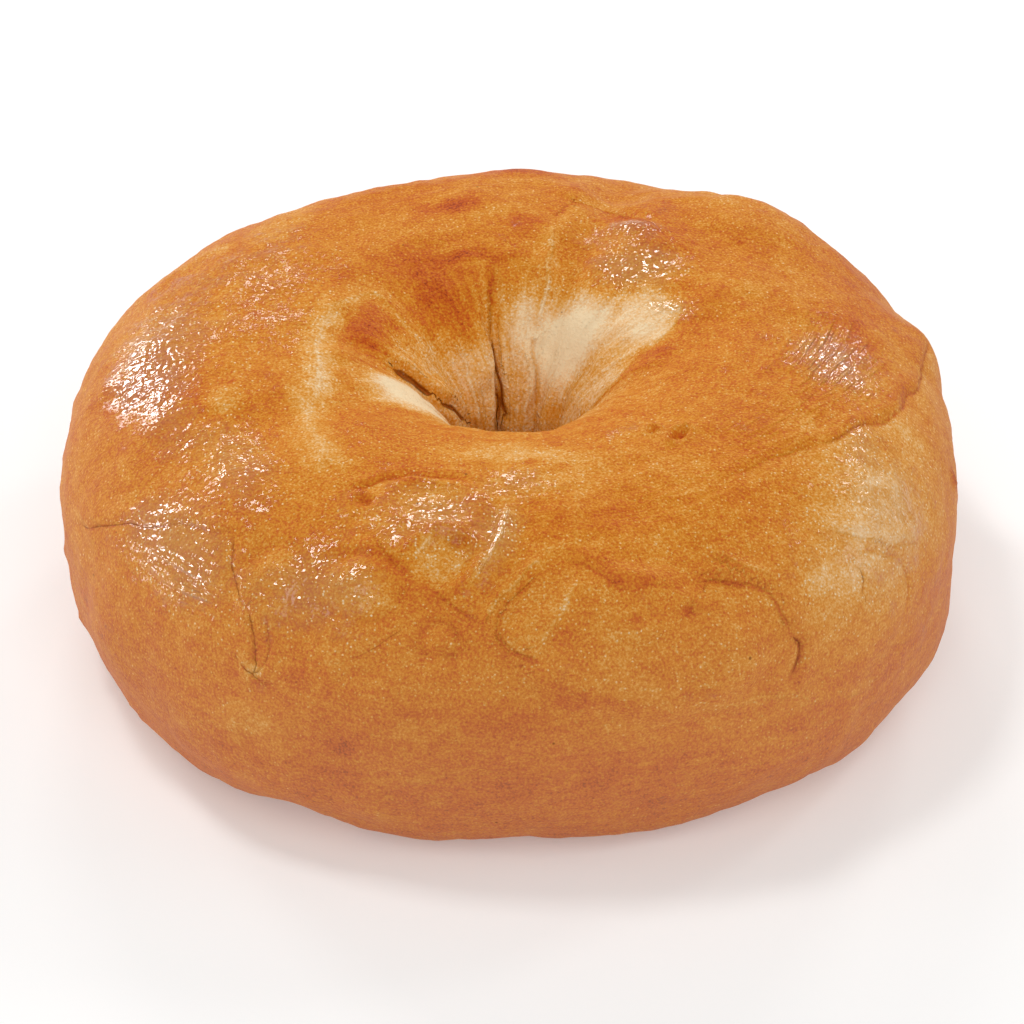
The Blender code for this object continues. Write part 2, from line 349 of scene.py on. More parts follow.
# %% Where the oven caught the crust, and where it stayed pale
# around, across, heading, half-length, half-width, tone
TINTS = (
    # toasted spots along the back
    (24, 38, 0, 16.0, 9.0, 0.10), (6, 51, 0, 12.0, 7.0, 0.16), (48, 52, 0, 14.0, 8.0, -0.08), (140, 40, 0, 26.0, 14.0, 0.05),
    (103.6, 79, 3, 6.8, 3.4, 0.30), (107, 84, 0, 7.0, 3.0, 0.04), (86, 92, 0, 3.8, 2.6, 0.18),
    (89, 49, 0, 7.0, 5.0, 0.25), (64, 91, 10, 7.0, 2.4, 0.12), (56, 88, -10, 7.0, 3.0, 0.05), (46, 84, 0, 9.0, 6.0, 0.06),
    (94, 88, 0, 8.0, 4.5, -0.09), (75, 75, 0, 7.0, 3.0, -0.08),
    # the brown lip of the funnel's left wall, and the wall under it
    (109, 110, 4, 5.6, 1.7, 0.30), (97, 112.5, -10, 2.8, 1.5, 0.26), (128, 104, 0, 10.0, 5.5, 0.11),
    (120, 116, 80, 6.0, 5.5, 0.12), (147, 98, 0, 6.0, 3.0, 0.08), (126, 130, 90, 9.0, 6.5, 0.20),
    # the toast on the left lobe
    (164, 118, 12, 6.4, 3.4, 0.22), (170, 112, 0, 6.0, 4.0, 0.06), (216, 96, 0, 3.0, 4.0, 0.06),
    # dough that was folded away from the heat
    (30, 122, 80, 9.0, 8.0, -0.46), (14, 118, 60, 5.0, 3.2, -0.20), (56, 138, 90, 9.0, 6.0, -0.60),
    (84, 136, 90, 8.0, 2.6, -0.28), (201, 141, 90, 9.0, 5.0, -0.38), (207, 128, 90, 9.0, 5.0, -0.42), (198, 122, 70, 7.0, 3.2, -0.20),
    (118, 152, 90, 6.0, 6.0, -0.10),
    # the bright lip in front, and the orange dough beyond it
    (268, 100, 0, 12.0, 4.0, -0.24), (283, 84, 0, 18.0, 9.0, -0.10), (283, 66, 0, 11.0, 5.0, 0.03),
    (275, 94, 0, 1.8, 1.1, 0.26), (281.5, 91, 0, 1.5, 1.0, 0.24), (247, 76, -8, 3.6, 0.9, 0.26),
    (240, 68, 20, 1.8, 0.8, 0.22), (262, 74, 0, 2.4, 0.8, 0.16), (276, 30, -20, 5.0, 1.6, 0.12),
    # the pale right-hand flank
    (326, 28, 10, 23.0, 15.0, -0.30), (331, 36, -24, 6.0, 1.6, -0.14), (334, 30, 30, 7.0, 1.8, -0.12),
    (322, 30, 60, 5.0, 1.6, -0.12), (318, 22, 10, 4.0, 2.2, -0.12), (324, 18, 0, 6.0, 2.0, 0.08),
    (312.9, 26, 15, 3.8, 2.6, -0.16), (346, 33, 60, 9.0, 4.5, -0.14), (340, 10, 80, 8.0, 5.0, -0.06),
    # darker and paler clouds low on the front
    (243.4, 12, 10, 3.4, 2.2, 0.24), (249.6, 357, 0, 3.2, 2.2, 0.22), (238.6, 11, 70, 2.4, 1.4, -0.16),
    (238, 357, 0, 8.0, 3.6, -0.14), (228, 348, 0, 4.0, 2.6, -0.10), (265, 8, -8, 14.0, 4.0, 0.08),
    (280, 12, -14, 10.0, 2.4, 0.10), (276, 350, 0, 22.0, 7.0, 0.04), (222, 12, 60, 6.0, 3.0, 0.06),
    # browner under the thick film, and yellower spots on the left shoulder
    (190, 46, 10, 16.0, 10.0, 0.15), (216, 36, 0, 16.0, 9.0, 0.05),
    (172, 67, 0, 3.0, 2.4, -0.10), (197, 74, 0, 3.4, 2.6, -0.10), (205, 88, 0, 4.0, 2.0, -0.06),
)

# %% Where the boiled film dried thick and shiny, and where it stayed thin
# around, across, heading, half-length, half-width, film
FILM = (
    (182, 47, 8, 22.0, 10.0, 0.40), (190, 46, 10, 13.0, 7.0, 0.25), (215, 56, 0, 16.0, 9.0, 0.45),
    (219, 30, 0, 16.0, 8.0, 0.66), (226, 20, 0, 14.0, 6.0, 0.25), (254, 66, 0, 15.0, 9.0, 0.54),
    (243, 34, 0, 13.0, 8.0, 0.48),
    (268, 58, 70, 9.0, 4.5, 0.50), (272, 82, 0, 9.0, 5.0, 0.40), (48, 104, 40, 10.0, 7.0, 0.75),
    (24, 108, 40, 7.0, 3.0, 0.50), (62, 90, 20, 9.0, 5.0, 0.62), (303, 102, 0, 7.0, 2.0, 0.30),
    (358, 57, 20, 14.0, 9.0, 0.46), (334, 44, 20, 9.0, 5.0, 0.22), (328, 28, 10, 22.0, 15.0, 0.33),
    (166, 118, 20, 7.0, 4.0, -0.30), (75, 84, 0, 4.0, 3.0, 0.12), (248, 36, 0, 7.0, 6.0, 0.15),
    (105, 60, 0, 22.0, 16.0, -0.12), (270, 352, 0, 42.0, 13.0, -0.30), (170, 0, 0, 40.0, 14.0, -0.15),
    (118, 125, 80, 12.0, 9.0, -0.25), (172, 148, 80, 8.0, 7.0, -0.25), (165, 70, 0, 30.0, 22.0, 0.27),
    (285, 58, 0, 18.0, 12.0, -0.14),
)

# %% Folds, ridges and cracks
# start, middle, end, over, taper, width, depth, step, reach, over tone, under tone, how far it is open
FOLDS = (
    # the deep crease down the back of the funnel
    ((97.5, 114), (100.5, 132), (101.6, 150), (130, 135), 4.0, 1.8, 0.20, 0.4, 6.0, 0.0, -0.04, 0.07),
    ((101.2, 142), (101, 158), (95.5, 172), (130, 165), 2.0, 1.5, 0.30, 0.4, 5.0, 0.0, 0.0, 0.22),
    # the pale ridge beside it, and the small crack between them
    ((79.5, 90), (77.5, 116), (73.5, 142), (40, 110), 4.0, 1.7, -0.30, 0.0, 2.4, -0.12, -0.12, 0.0),
    ((73.8, 138), (72, 150), (70, 166), (40, 150), 2.0, 1.1, -0.25, 0.0, 2.0, -0.06, -0.06, 0.0),
    ((76, 138), (71, 151), (64, 168), (110, 150), 3.0, 1.4, 0.20, 0.3, 3.0, 0.0, 0.0, 0.0),
    ((92, 136), (92, 148), (94, 162), (110, 150), 3.0, 0.9, 0.12, 0.1, 2.0, 0.0, 0.0, 0.0),
    # the torn crack on the left
    ((178.5, 130), (177, 142), (173, 151), (150, 140), 1.5, 1.3, 0.35, 0.6, 4.0, 0.02, -0.04, 0.70),
    ((171.5, 152.5), (163, 160), (148, 167), (120, 150), 1.5, 1.2, 0.35, 0.5, 4.0, 0.0, 0.0, 0.55),
    # the pale arch round the left lobe
    ((236, 71), (220, 82), (202, 98), (180, 125), 5.0, 2.4, -0.17, 0.0, 4.0, -0.24, -0.20, 0.0),
    ((212, 92), (182, 102), (156, 105), (180, 125), 5.0, 2.4, -0.18, 0.0, 3.6, -0.26, -0.22, 0.0),
    ((168, 104.6), (149, 110), (146, 124), (180, 125), 4.0, 1.8, -0.18, 0.0, 2.0, -0.18, -0.06, 0.0),
    ((146, 118), (150, 134), (166, 147), (180, 125), 3.0, 1.5, -0.15, 0.2, 3.0, -0.04, 0.0, 0.0),
    # the front's edge over the pale fan of the funnel
    ((30, 98), (14, 113), (4, 128), (335, 110), 5.0, 2.8, 0.0, 0.35, 6.0, 0.10, -0.14, 0.0),
    ((8, 124), (357, 140), (352, 158), (330, 130), 4.0, 2.6, 0.0, 0.4, 6.0, 0.10, -0.10, 0.0),
    # the lobe at the back right, beyond the fan
    ((81, 93), (72, 72), (48, 86), (64, 50), 4.0, 2.4, 0.12, 0.40, 5.0, -0.05, 0.09, 0.0),
    # the left edge of the big front swelling, and the ridges on it
    ((275.6, 48), (269.6, 37), (268.6, 28.5), (255, 40), 3.0, 1.3, 0.16, 0.34, 3.0, 0.04, -0.07, 0.0),
    ((268.4, 33), (269.3, 26), (274.6, 21), (262, 20), 2.5, 1.1, 0.26, 0.33, 3.0, 0.05, -0.05, 0.03),
    ((280, 45), (276.6, 35), (273, 25), (265, 35), 2.0, 0.9, -0.22, 0.0, 1.6, -0.08, -0.05, 0.0),
    ((271, 23), (280, 15), (293, 7), (280, 30), 5.0, 1.8, -0.20, 0.30, 4.0, -0.06, 0.05, 0.0),
    # its upper edge, where orange dough laps over it
    ((277, 50), (282, 44), (287.5, 37), (284, 55), 2.5, 1.5, 0.08, 0.28, 3.5, 0.08, -0.05, 0.0),
    ((286, 38), (291, 37.4), (295.4, 35.9), (292, 45), 3.0, 1.5, 0.06, 0.28, 3.5, 0.08, -0.05, 0.0),
    # its right edge, a crease with a ridge outside it
    ((294.5, 36), (304, 31), (306.6, 15), (322, 25), 3.5, 1.2, 0.26, 0.30, 3.0, 0.04, -0.06, 0.03),
    ((305.8, 18), (307.2, 11), (304.5, 4), (322, 8), 2.5, 1.0, 0.36, 0.32, 3.0, 0.06, -0.03, 0.12),
    ((299, 40), (304, 31), (308, 17), (322, 25), 2.0, 0.9, -0.25, 0.0, 1.6, -0.06, -0.05, 0.0),
    ((296, 6), (303, 2), (309, 358), (303, 340), 2.0, 1.2, -0.22, 0.0, 2.0, -0.06, -0.03, 0.0),
    # bright ridges beside the front's pale blister
    ((268.5, 74), (268, 60), (263.5, 42), (280, 60), 3.0, 1.2, -0.38, 0.1, 2.0, -0.10, -0.04, 0.0),
    ((256.6, 62), (256, 54), (254, 46), (240, 55), 2.0, 0.8, -0.28, 0.0, 1.5, -0.05, 0.0, 0.0),
    ((275, 52), (270.4, 43), (266.8, 33), (285, 45), 2.0, 1.4, -0.34, 0.0, 2.0, -0.12, -0.06, 0.0),
    ((282.6, 78), (281.6, 65), (279.6, 52), (290, 65), 2.0, 1.0, -0.15, 0.0, 1.6, -0.04, 0.0, 0.0),
    ((239, 64), (247, 79), (262, 79), (250, 95), 3.0, 1.2, 0.16, 0.25, 3.0, 0.10, -0.05, 0.0),
    ((247, 55), (252, 47), (256.5, 41), (245, 40), 3.0, 1.2, 0.14, 0.32, 3.0, 0.08, -0.08, 0.0),
    ((256.5, 41.5), (263, 37), (268, 30), (262, 25), 3.0, 1.5, 0.12, 0.30, 3.5, 0.05, -0.07, 0.0),
    ((256, 32), (253, 26), (249, 19), (245, 35), 2.0, 0.6, 0.05, 0.08, 2.0, 0.02, 0.0, 0.07),
    # the long seam on the right
    ((308, 64), (322, 59), (335, 51.3), (345, 80), 6.0, 1.2, 0.12, 0.22, 4.0, 0.05, -0.05, 0.0),
    ((329, 54.5), (342, 45), (351, 37), (10, 60), 4.0, 0.9, 0.18, 0.28, 4.0, 0.06, -0.10, 0.05),
    ((348, 39.5), (0, 31), (15, 22), (10, 60), 3.0, 0.9, 0.18, 0.28, 4.0, 0.06, -0.08, 0.06),
    # creases and arcs on the pale flank under it
    ((318, 38), (323, 26), (334, 15), (340, 35), 3.0, 0.9, 0.12, 0.20, 3.0, -0.06, 0.04, 0.0),
    ((300, 46), (304, 38), (308, 28), (320, 45), 3.0, 0.9, -0.22, 0.0, 1.6, -0.05, 0.0, 0.0),
    ((319, 27), (327, 16), (325, 2), (312, 12), 4.0, 1.0, 0.18, 0.15, 2.5, -0.04, 0.05, 0.03),
    ((319.4, 24), (319.2, 20), (318, 16.5), (330, 22), 1.2, 0.6, 0.14, 0.05, 1.5, 0.0, 0.0, 0.09),
    # the film's cracks on the left flank
    ((199, 10), (211, 25), (219, 32), (200, 40), 3.0, 0.8, 0.14, 0.15, 3.0, 0.0, 0.0, 0.09),
    ((215, 30), (221, 34), (228, 40), (205, 45), 3.0, 0.7, 0.10, 0.20, 3.0, 0.0, -0.04, 0.06),
    ((227.9, 40), (230.5, 31), (235.5, 24), (245, 35), 2.0, 0.7, 0.12, 0.20, 3.0, 0.0, -0.05, 0.09),
    ((235.5, 25), (237, 18), (238, 9), (225, 12), 1.5, 0.8, 0.15, 0.25, 3.0, -0.04, 0.03, 0.09),
    ((238, 27), (239.2, 19), (238.6, 12), (250, 18), 1.5, 0.7, 0.12, 0.15, 2.5, 0.0, 0.0, 0.07),
    ((235.4, 12.0), (237.6, 9.6), (239.6, 7.5), (238, 20), 1.2, 1.0, 0.18, 0.25, 2.0, -0.10, 0.04, 0.10),
    ((235.5, 358), (236.6, 351), (240, 346), (225, 350), 2.0, 0.9, -0.15, 0.1, 2.0, -0.05, 0.04, 0.0),
)

# %% Where the skin slid and puckered into fine ridges
# around, across, heading, half-length, half-width, wrinkling
WRINKLES = (
    (226, 22, 0, 17.0, 8.5, 0.8), (205, 20, 0, 12.0, 9.0, 0.4), (357, 60, 0, 17.0, 11.0, 1.2),
    (330, 68, 0, 12.0, 9.0, 0.5), (300, 66, 0, 12.0, 7.0, 0.3), (238, 31, 0, 5.0, 5.0, 0.4),
    (248, 36, 0, 4.5, 4.0, 0.5), (247, 22, 0, 4.5, 4.0, 0.4), (264, 348, 0, 32.0, 8.0, 0.5),
    (318, 352, 0, 26.0, 9.0, 0.6), (200, 352, 0, 26.0, 9.0, 0.5),
)

# %% [markdown]
# ## The rest of the ring
# The back and the left of a bagel have the same kinds of mark in no order, so a seeded scatter makes
# those, and a loop folds the deep wall of the hole, which nobody sees well.

# %% Scatter marks over the back
chance = random.Random(11)
stray_blisters = []
for _ in range(34):
    around_place = chance.uniform(15, 205)
    across_place = chance.uniform(-8, 84)
    size = chance.uniform(1.6, 6.5)
    stray_blisters.append((
        around_place, across_place, chance.uniform(-25, 25), size * chance.uniform(1.1, 1.9), size,
        chance.uniform(0.5, 1.0), chance.uniform(-0.20, 0.30), chance.uniform(-0.06, 0.10),
        chance.uniform(-0.14, 0.10), chance.uniform(-0.03, 0.06)))
stray_folds = []
for _ in range(12):
    around_place = chance.uniform(20, 190)
    across_place = chance.uniform(-5, 50)
    run, climb = chance.uniform(6, 16), chance.uniform(-12, 12)
    bend = chance.uniform(-4, 4)
    stray_folds.append((
        (around_place, across_place), (around_place + run / 2, across_place + climb / 2 + bend),
        (around_place + run, across_place + climb), (around_place, across_place + 30), 3.0,
        chance.uniform(0.6, 1.1), chance.uniform(-0.2, 0.3), chance.uniform(0.0, 0.3), 3.0,
        chance.uniform(-0.03, 0.06), chance.uniform(-0.06, 0.03), chance.uniform(-0.20, 0.10)))

# %% Fold the deep wall of the hole
wall_folds = []
for start in range(112, 350, 17):
    sway = 6 * math.sin(start)
    depth = 0.28 * math.cos(3 * start)
    wall_folds.append((
        (start + sway, 136), (start + sway / 2, 152), (start, 172), (start + 30, 140),
        3.0, 1.3, depth, 0.0, 2.0, 0.0, 0.0, 0.0))
print(len(BLISTERS) + len(stray_blisters), "blisters,", len(FOLDS) + len(stray_folds) + len(wall_folds), "folds,",
      len(TINTS) + len(FILM) + len(WRINKLES), "soft patches")

# %% [markdown]
# ## The crust's own tree
# The whole crust is one tree: the skin, then each mark as one node in a chain, then the texture that is
# everywhere. Outlines drawn by a formula look drawn, so the marks read a position that a noise has
# pushed about by up to a millimetre.

# %% Start the tree and the wandering position
crust, given, made = new_tree("bagel crust", {
    **SKIN_INPUTS, "Wander": NUMBER, "Mark relief": NUMBER, "Plumpness": NUMBER, "Broad lumps": NUMBER, "Dents": NUMBER,
    "Streaks": NUMBER, "Pebbling": NUMBER, "Pleating": NUMBER, "Crust": "NodeSocketMaterial",
}, {"Crust": MESH})
wrapped = add(crust, GROUP, {name: given[name] for name in SKIN_INPUTS}, node_tree=skin)
position = add(crust, "GeometryNodeInputPosition")
facing = add(crust, "GeometryNodeInputNormal")
in_mm = add(crust, VECTOR, {"Vector": position, "Scale": 1 / MM}, operation="SCALE")
drifting = add(crust, NOISE, {"Vector": in_mm, "Scale": 1 / 7.0, "Detail": 1.5, "Roughness": 0.5})
drift = add(crust, VECTOR, (drifting.outputs["Color"], (0.5, 0.5, 0.5)), operation="SUBTRACT")
wander = add(crust, VECTOR, (drift, given["Wander"], position), operation="MULTIPLY_ADD")

# %% Gather the marks
marks = []
for around, across, heading, length, width, softness, rise, rim, tone, rim_tone in (*BLISTERS, *stray_blisters):
    marks.append((blister, {
        "Centre": place(around, across), "Along": heading_of(around, across, heading), "Length": length * MM,
        "Width": width * MM, "Softness": softness, "Rise": rise * MM, "Rim": rim * MM, "Tone": tone,
        "Rim tone": rim_tone}))
for total, rows in (("Tone", TINTS), ("Gel", FILM), ("Wrinkles", WRINKLES)):
    for around, across, heading, length, width, amount in rows:
        marks.append((blister, {
            "Centre": place(around, across), "Along": heading_of(around, across, heading), "Length": length * MM,
            "Width": width * MM, "Softness": 1.0, total: amount}))
for (start, middle, end, over, taper, width, depth, step, reach, over_tone, under_tone, openness) in (
        *FOLDS, *stray_folds, *wall_folds):
    start, middle, end = place(*start), place(*middle), place(*end)
    marks.append((fold, {
        "Start": start, "Middle": 2 * middle - (start + end) / 2, "End": end, "Over": place(*over),
        "Taper": taper * MM, "Width": width * MM, "Depth": depth * MM, "Step": step * MM, "Reach": reach * MM,
        "Over tone": over_tone, "Under tone": under_tone, "Open": openness * MM}))
print("marks in the chain:", len(marks))

# %% Chain them
ORDINARY_FILM = 0.35
sums = {"Relief": 0.0, "Bake": 0.0, "Film": ORDINARY_FILM, "Pucker": 0.0, "Crack": 0.0, "Gap": 0.0,
        "Crest": 0.0}
for kind, inputs in marks:
    node = add(crust, GROUP, {"At": wander, **sums, **inputs}, node_tree=kind)
    sums = {name: node.outputs[name] for name in sums}

# %% [markdown]
# ## The texture that is everywhere
# Five textures lie over the whole ring: broad lumps, dents, streaks along the rope where it was rolled, small
# pebbles where the gel film shrank as it dried, and fine pleats that run down the hole's wall, where
# the dough was gathered in. The streaks and pleats need a noise that is stretched along or across the
# rope, so they read the place on the ring, not the plain position.

# %% Lay the streaks, lumps, pebbles and pleats
TOP_ROPE = 20.0  # mm from the centre line to the crust, so that a turn of the across angle is a length
FUNNEL_RADIUS = 13.0
ring_place = add(crust, READ, {"Name": "ring_place"}, data_type="FLOAT_VECTOR")
across = add(crust, SPLIT, (ring_place,)).outputs["Z"]
streaky = add(crust, NOISE, {
    "Vector": add(crust, VECTOR, {"Vector": in_mm, "Scale": 1 / 18.0}, operation="SCALE"),
    "W": add(crust, MATH, (across, TOP_ROPE / 1.7), operation="MULTIPLY"), "Scale": 1.0, "Detail": 2.0},
    noise_dimensions="4D")
lumpy = add(crust, NOISE, {"Vector": in_mm, "Scale": 1 / 12.0, "Detail": 1.0})
dented = add(crust, NOISE, {"Vector": in_mm, "Scale": 1 / 3.4, "Detail": 1.0})
pebbly = add(crust, NOISE, {"Vector": in_mm, "Scale": 1 / 1.8, "Detail": 1.0})
pebbling = add(crust, MATH, (sums["Film"], given["Pebbling"]), operation="MULTIPLY")
relief = add(crust, MATH, (sums["Relief"], given["Mark relief"], given["Plumpness"]), operation="MULTIPLY_ADD")
for texture, amount in ((lumpy, given["Broad lumps"]), (dented, given["Dents"]), (streaky, given["Streaks"]),
                        (pebbly, pebbling)):
    level = add(crust, MATH, (texture, 0.5), operation="SUBTRACT")
    relief = add(crust, MATH, (level, amount, relief), operation="MULTIPLY_ADD")

gathered = add(crust, VECTOR, (ring_place, (FUNNEL_RADIUS, FUNNEL_RADIUS, 1.6)), operation="MULTIPLY")
pleated = add(crust, NOISE, {"Vector": gathered, "Scale": 1 / 1.9, "Detail": 2.0})
valley = add(crust, MATH, (add(crust, MATH, (pleated, 0.5), operation="SUBTRACT"),), operation="ABSOLUTE")
down_wall = add(crust, RANGE, (across, math.radians(104), math.radians(128)), **EASED)
far_wall = add(crust, RANGE, (add(crust, SPLIT, (ring_place,)).outputs["Y"], -0.6, -0.1), **EASED)
down_wall = add(crust, MATH, (down_wall, far_wall), operation="MULTIPLY")
pleats = add(crust, MATH, (add(crust, MATH, (valley, down_wall), operation="MULTIPLY"), given["Pleating"], relief),
             operation="MULTIPLY_ADD")

# %% Keep the base flat, store what the material will read, and move the skin
BASE_STARTS, BASE_FLAT = -0.68, -0.84  # sines of the across angle
up = add(crust, MATH, (across,), operation="SINE")
off_base = add(crust, RANGE, (up, BASE_FLAT, BASE_STARTS), **EASED)
relief = add(crust, MATH, (pleats, off_base), operation="MULTIPLY")
stored = wrapped
tones = add(crust, JOIN, (sums["Bake"], sums["Film"], sums["Pucker"]))
crack = add(crust, VECTOR, {
    "Vector": add(crust, JOIN, (sums["Crack"], sums["Gap"], sums["Crest"])), "Scale": 1 / MM}, operation="SCALE")
for name, value in (("bake_film_pucker", tones), ("line_gap_crest", crack)):
    stored = add(crust, STORE, {"Geometry": stored, "Name": name, "Value": value}, data_type="FLOAT_VECTOR")
raised = add(crust, MOVE, {
    "Geometry": stored, "Offset": add(crust, VECTOR, (facing, relief), operation="MULTIPLY")})
now = add(crust, SPLIT, (add(crust, "GeometryNodeInputPosition"),)).outputs
above_floor = add(crust, JOIN, (now["X"], now["Y"], add(crust, MATH, (now["Z"], 0.0), operation="MAXIMUM")))
standing = add(crust, MOVE, {"Geometry": raised, "Position": above_floor})
smooth = add(crust, "GeometryNodeSetShadeSmooth", {"Geometry": standing})
whole = add(crust, "GeometryNodeRealizeInstances", {"Geometry": smooth})
finished = add(crust, "GeometryNodeSetMaterial", {"Geometry": whole, "Material": given["Crust"]})
crust.links.new(finished.outputs[0], made["Crust"])

# %% [markdown]
# ## Bread crust
# A bagel's crust is starch that the boiling water turned to gel and the oven then browned. The gel
# dries to a thin shiny film over a matt, slightly rough crumb, so the material is a rough coloured base
# under a smooth coat, and the coat is as strong as the film is thick. Browning runs from raw cream,
# where dough was folded away from the heat, through gold to a scorched red-brown. It is uneven at
# several scales: clouds of a few millimetres, streaks along the rope, and a fine grain. Some light is
# also painted into the colour: paler tops on single starch blisters, partly their whitish lifted skin and
# partly painted glints, painted highlight on ridges, shade in creases, cracks and dimples, and a sheen on the lower
# front.

# %% Colours of the crust
BROWNING = ((0.00, "#F3DAB0"), (0.15, "#EBC08A"), (0.30, "#E0A350"), (0.45, "#D78B24"), (0.56, "#CF7B18"),
            (0.68, "#C76614"), (0.82, "#BE5012"), (1.00, "#8A350D"))
LOW_FRONT_SHEEN = "#DCA57C"  # painted sheen: the lower front is veiled with pinkish white
DEEP = "#B4780E"  # glassy film over dough shows it darker and more golden, as varnish does
CRACK_SHADE = "#85380A"  # painted shade inside a crack
SPECK = "#6E340F"  # a speck of scorched flour


def new_material(name):
    """A material with its tree and its Principled shader."""
    material = bpy.data.materials.new(name)
    material.use_nodes = True
    return material, material.node_tree, material.node_tree.nodes["Principled BSDF"].inputs


# %% Read the skin
bread, tree, shader = new_material("boiled_and_baked_bread_crust")
spot = add(tree, VECTOR, {"Vector": add(tree, "ShaderNodeTexCoord").outputs["Object"], "Scale": 1 / MM},
           operation="SCALE")
ring_place = add(tree, "ShaderNodeAttribute", attribute_name="ring_place").outputs["Vector"]
tones = add(tree, "ShaderNodeAttribute", attribute_name="bake_film_pucker").outputs["Vector"]
bake, film, pucker = add(tree, SPLIT, (tones,)).outputs
crack = add(tree, "ShaderNodeAttribute", attribute_name="line_gap_crest").outputs["Vector"]
crack_distance, crack_gap, crest = add(tree, SPLIT, (crack,)).outputs
across = add(tree, SPLIT, (ring_place,)).outputs["Z"]

# %% Brown it
# each texture's size in mm, and how much of the browning it makes
clouds = add(tree, NOISE, {"Vector": spot, "Scale": 1 / 7.0, "Detail": 2.0})
mottles = add(tree, NOISE, {"Vector": spot, "Scale": 1 / 1.8, "Detail": 3.0, "Roughness": 0.7})
grain = add(tree, NOISE, {"Vector": spot, "Scale": 1 / 0.30, "Detail": 2.0, "Roughness": 0.6})
starch = add(tree, "ShaderNodeTexVoronoi", {"Vector": spot, "Scale": 1 / 0.45})  # the tiny blisters
bump_top = add(tree, RANGE, (starch.outputs["Distance"], 0.42, 0.12), **EASED)
swollen = add(tree, RANGE, (add(tree, SPLIT, (starch.outputs["Color"],)), 0.35, 1.0), **EASED)
bubbles = add(tree, MATH, (bump_top, swollen), operation="MULTIPLY")
gelled = add(tree, RANGE, (film, 0.1, 0.8, 0.2, 1.0))  # the gel film is what swells and shrinks
over_mm = add(tree, MATH, (across, TOP_ROPE / 0.6), operation="MULTIPLY")
rolled = add(tree, NOISE, {
    "Vector": add(tree, VECTOR, {"Vector": spot, "Scale": 1 / 7.0}, operation="SCALE"), "W": over_mm,
    "Scale": 1.0, "Detail": 2.0, "Roughness": 0.6}, noise_dimensions="4D")
fibres = add(tree, NOISE, {
    "Vector": add(tree, VECTOR, (ring_place, (FUNNEL_RADIUS, FUNNEL_RADIUS, 1.5)), operation="MULTIPLY"),
    "Scale": 1 / 0.8, "Detail": 3.0, "Roughness": 0.6})
in_funnel = add(tree, RANGE, (across, math.radians(100), math.radians(124)), **EASED)
streaks = add(tree, "ShaderNodeMix", (in_funnel, rolled, fibres))
low = add(tree, RANGE, (across, math.radians(25), math.radians(-30)), **EASED)
# the streaks show most low down, in the funnel and where the skin is puckered
combed = add(tree, MATH, (low, 0.25, add(tree, MATH, (in_funnel, 0.38, 0.20), operation="MULTIPLY_ADD")),
             operation="MULTIPLY_ADD")

# the tops of the tiny starch blisters are paler: partly their whitish lifted skin, partly painted glints
texture_sum = add(tree, MATH, (add(tree, MATH, (bubbles, gelled), operation="MULTIPLY"), -0.66), operation="MULTIPLY")
for texture, amount in ((clouds, 0.28), (mottles, 0.44), (grain, 1.0), (streaks, combed)):
    centred = add(tree, MATH, (texture, 0.5), operation="SUBTRACT")
    texture_sum = add(tree, MATH, (centred, amount, texture_sum), operation="MULTIPLY_ADD")
# where the skin is puckered, its ridges are painted paler as a painted highlight and the valleys between them browner
# as painted shade; they lean away from the rope's own direction, and more so on the right
lean = add(tree, RANGE, (add(tree, SPLIT, (ring_place,)), -0.4, 0.6, 0.10, 0.38))
slid = add(tree, MATH, (add(tree, SPLIT, (spot,)).outputs["Y"], lean), operation="MULTIPLY")
slid = add(tree, MATH, (across, TOP_ROPE, slid), operation="MULTIPLY_ADD")
puckers = add(tree, NOISE, {
    "Vector": add(tree, VECTOR, {"Vector": spot, "Scale": 1 / 5.0}, operation="SCALE"),
    "W": add(tree, MATH, (slid, 1 / 0.62), operation="MULTIPLY"), "Scale": 1.0, "Detail": 0.5}, noise_dimensions="4D")
ridges = add(tree, RANGE, (puckers, 0.32, 0.68), **EASED)
ridges = add(tree, MATH, (add(tree, MATH, (ridges, 0.5), operation="SUBTRACT"), pucker), operation="MULTIPLY")
texture_sum = add(tree, MATH, (ridges, -0.16, texture_sum), operation="MULTIPLY_ADD")
# dough on the hole's wall is hidden from the heat, and stays paler; the lower flank is made darker, more so towards the
# base
sheltered = add(tree, RANGE, (across, math.radians(118), math.radians(150)), **EASED)
level = add(tree, MATH, (sheltered, -0.26, add(tree, MATH, (bake, 0.55), operation="ADD")), operation="MULTIPLY_ADD")
level = add(tree, MATH, (low, 0.16, level), operation="MULTIPLY_ADD")
# pale dough is smooth, because it's the heat that brings the pattern out
developed = add(tree, RANGE, (level, 0.05, 0.45, 0.50, 1.0), **EASED)
level = add(tree, MATH, (texture_sum, developed, level), operation="MULTIPLY_ADD")
# the fine line of each fold: a ridge is painted paler as a painted highlight, and a crease darker as painted shade
off_line = add(tree, MATH, (crack_distance,), operation="ABSOLUTE")
fine_line = add(tree, RANGE, (off_line, 0.45, 0.0), **EASED)
fine_line = add(tree, MATH, (fine_line, crest), operation="MULTIPLY")
level = add(tree, MATH, (fine_line, -0.42, level), operation="MULTIPLY_ADD")

colour = add(tree, "ShaderNodeValToRGB", (level,))
ramp = colour.color_ramp
while len(ramp.elements) < len(BROWNING):
    ramp.elements.new(0.5)
for element, (at, hex_colour) in zip(ramp.elements, BROWNING):
    element.position = at
    element.color = linear(hex_colour)
